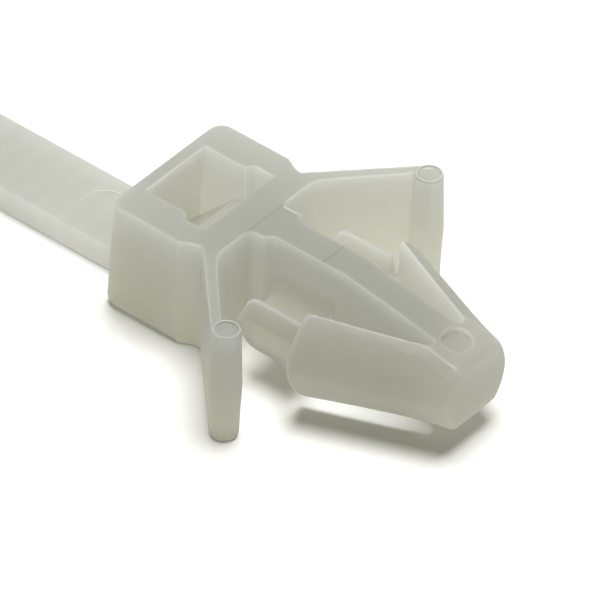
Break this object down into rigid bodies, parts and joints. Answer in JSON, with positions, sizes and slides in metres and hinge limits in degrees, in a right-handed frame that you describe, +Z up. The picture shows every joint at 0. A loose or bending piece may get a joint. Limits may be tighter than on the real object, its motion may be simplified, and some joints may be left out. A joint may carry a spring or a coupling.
{
  "type": "push mount cable tie",
  "caption": "Nylon cable tie whose head carries an arrowhead stem with sprung wings, pushed into a round panel hole.",
  "frame": {"origin": "on the stem's axis, in the plane of the barbs' free ends, where the far side of a panel is caught, on the mould's parting plane", "axes": "+X along the stem, out of the arrowhead's tip; the strap leaves towards -X; +Z up, out of the head's top where the strap's end comes out"},
  "size_m": [0.1667, 0.0144, 0.0056],
  "materials": {
    "natural_nylon": "satin, translucent natural nylon"
  },
  "bodies": {
    "root": {"cable_tie": "natural_nylon"}
  },
  "joints": []
}
